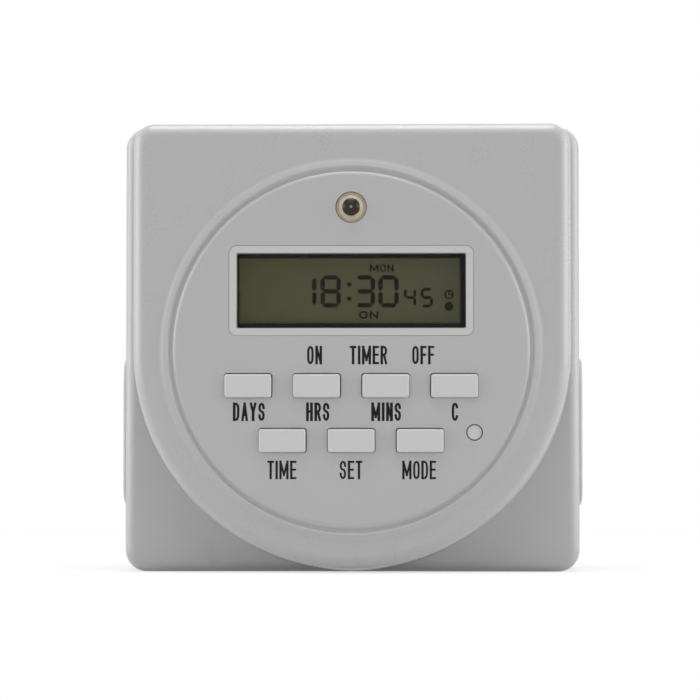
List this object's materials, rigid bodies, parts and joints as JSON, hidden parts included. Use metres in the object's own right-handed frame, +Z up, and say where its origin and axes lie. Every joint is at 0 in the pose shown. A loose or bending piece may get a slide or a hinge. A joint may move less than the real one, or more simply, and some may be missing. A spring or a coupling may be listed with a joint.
{
  "type": "digital plug-in timer",
  "caption": "Square plug-in timer with a round control panel, display, keys and an earthed outlet in each side, for switching appliances from a wall socket.",
  "frame": {"origin": "on the flat rear face, midway between the plug's two flat blades", "axes": "+Z up as plugged in, the front faces -Y and the blades point along +Y, +X to the right as seen from the front"},
  "size_m": [0.0864, 0.0628, 0.0832],
  "materials": {
    "housing": "fine satin moulding, pale grey",
    "panel": "fine satin moulding, pale grey",
    "keys": "satin, a little lighter than the panel",
    "window": "clear polished acrylic",
    "display_glass": "display glass, olive tint",
    "reflector": "dark olive reflective film",
    "white_plastic": "natural white",
    "lamp": "clear epoxy",
    "black_rubber": "carbon-filled",
    "silicone": "matt silicone",
    "circuit_board": "solder mask over glass laminate",
    "black_epoxy": "moulded epoxy",
    "nickel": "nickel plated",
    "steel": "zinc plated",
    "brass": "bright rolled",
    "phenolic": "dark moulded phenolic",
    "relay_case": "blue moulded case",
    "film_capacitor": "yellow moulded case",
    "capacitor_sleeve": "shrunk sleeve",
    "varistor_coat": "dipped blue epoxy",
    "resistor_coat": "tan lacquer",
    "ribbon": "grey insulation",
    "black_wire": "insulation",
    "white_wire": "insulation",
    "red_wire": "insulation"
  },
  "bodies": {
    "timer": {"backup_battery": "nickel", "battery_tabs": "nickel", "blade_retainer": "phenolic", "bleed_resistors": "resistor_coat", "board_screws": "steel", "case_screws": "steel", "control_board": "circuit_board", "control_panel": "panel", "display_window": "window", "dropper_capacitor": "film_capacitor", "front_case": "housing", "ground_pin": "brass", "ground_strip": "brass", "indicator_led": "lamp", "keypad_mat": "silicone", "lcd_frame": "white_plastic", "lcd_front_glass": "display_glass", "lcd_front_polariser": "display_glass", "lcd_rear_glass": "display_glass", "lcd_reflector": "reflector", "left_outlet": "housing", "line_blade": "brass", "line_lead": "black_wire", "line_strip": "brass", "neutral_blade": "brass", "neutral_lead": "white_wire", "neutral_strip": "brass", "panel_screws": "steel", "power_board": "circuit_board", "processor_blob": "black_epoxy", "rear_case": "housing", "rectifier_diodes": "black_epoxy", "relay": "relay_case", "relay_transistor": "black_epoxy", "reservoir_capacitor": "capacitor_sleeve", "retainer_screws": "steel", "ribbon_cable": "ribbon", "ribbon_header": "white_plastic", "right_outlet": "housing", "switched_lead": "red_wire", "timing_crystal": "nickel", "varistor": "varistor_coat", "zebra_connectors": "black_rubber"},
    "day_key": {"key_day": "keys", "pill_day": "black_rubber"},
    "hours_key": {"key_hours": "keys", "pill_hours": "black_rubber"},
    "minutes_key": {"key_minutes": "keys", "pill_minutes": "black_rubber"},
    "recall_key": {"key_recall": "keys", "pill_recall": "black_rubber"},
    "clock_key": {"key_clock": "keys", "pill_clock": "black_rubber"},
    "set_key": {"key_set": "keys", "pill_set": "black_rubber"},
    "mode_key": {"key_mode": "keys", "pill_mode": "black_rubber"},
    "reset_key": {"reset_button": "keys", "pill_reset": "black_rubber"}
  },
  "joints": [
    {"name": "press_day", "type": "slide", "parent": "timer", "child": "day_key", "axis": [0, 1, 0], "range_m": [0, 0.0008], "stiffness_N_per_m": 1200, "springref_m": -0.0004, "deforming": ["keypad_mat"]},
    {"name": "press_hours", "type": "slide", "parent": "timer", "child": "hours_key", "axis": [0, 1, 0], "range_m": [0, 0.0008], "stiffness_N_per_m": 1200, "springref_m": -0.0004, "deforming": ["keypad_mat"]},
    {"name": "press_minutes", "type": "slide", "parent": "timer", "child": "minutes_key", "axis": [0, 1, 0], "range_m": [0, 0.0008], "stiffness_N_per_m": 1200, "springref_m": -0.0004, "deforming": ["keypad_mat"]},
    {"name": "press_recall", "type": "slide", "parent": "timer", "child": "recall_key", "axis": [0, 1, 0], "range_m": [0, 0.0008], "stiffness_N_per_m": 1200, "springref_m": -0.0004, "deforming": ["keypad_mat"]},
    {"name": "press_clock", "type": "slide", "parent": "timer", "child": "clock_key", "axis": [0, 1, 0], "range_m": [0, 0.0008], "stiffness_N_per_m": 1200, "springref_m": -0.0004, "deforming": ["keypad_mat"]},
    {"name": "press_set", "type": "slide", "parent": "timer", "child": "set_key", "axis": [0, 1, 0], "range_m": [0, 0.0008], "stiffness_N_per_m": 1200, "springref_m": -0.0004, "deforming": ["keypad_mat"]},
    {"name": "press_mode", "type": "slide", "parent": "timer", "child": "mode_key", "axis": [0, 1, 0], "range_m": [0, 0.0008], "stiffness_N_per_m": 1200, "springref_m": -0.0004, "deforming": ["keypad_mat"]},
    {"name": "press_reset", "type": "slide", "parent": "timer", "child": "reset_key", "axis": [0, 1, 0], "range_m": [0, 0.0008], "stiffness_N_per_m": 1200, "springref_m": -0.0004, "deforming": ["keypad_mat"]}
  ]
}
